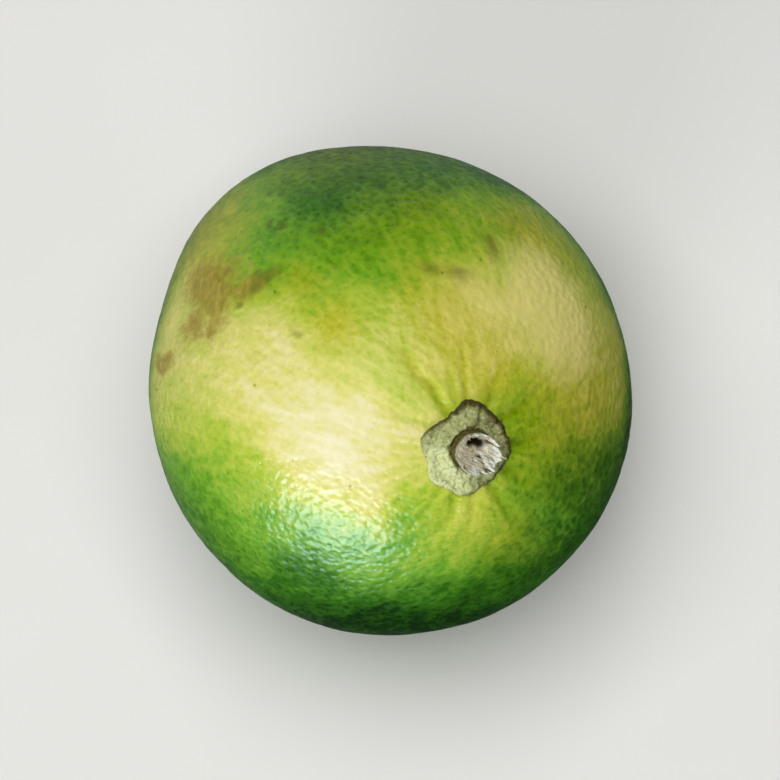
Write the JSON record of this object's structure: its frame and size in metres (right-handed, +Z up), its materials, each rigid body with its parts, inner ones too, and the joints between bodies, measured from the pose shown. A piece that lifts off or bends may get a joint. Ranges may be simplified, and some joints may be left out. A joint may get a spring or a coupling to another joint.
{
  "type": "lime",
  "caption": "Whole lime lying on a small flat spot with its stem end up and leaning over, carrying its dry calyx and the torn stub of its stem.",
  "frame": {"origin": "middle of the lime seen from above, on the surface it lies on", "axes": "+Z is up from the flat spot, +Y is up the picture and +X is to its right; the stem end leans 30 degrees from +Z towards +X and -Y"},
  "size_m": [0.0542, 0.0548, 0.0539],
  "materials": {
    "peel": "waxy citrus peel with fine oil-gland dimples, turning from dark green to cream-yellow, with tan and brown russet patches",
    "dry_calyx": "dry grey-green calyx with dark edges and pale specks",
    "stem_wood": "torn grey-brown stem with a pale fibrous rim round a dark hollow"
  },
  "bodies": {
    "root": {"lime_fruit": "peel", "calyx": "dry_calyx", "stem_stub": "stem_wood"}
  },
  "joints": []
}
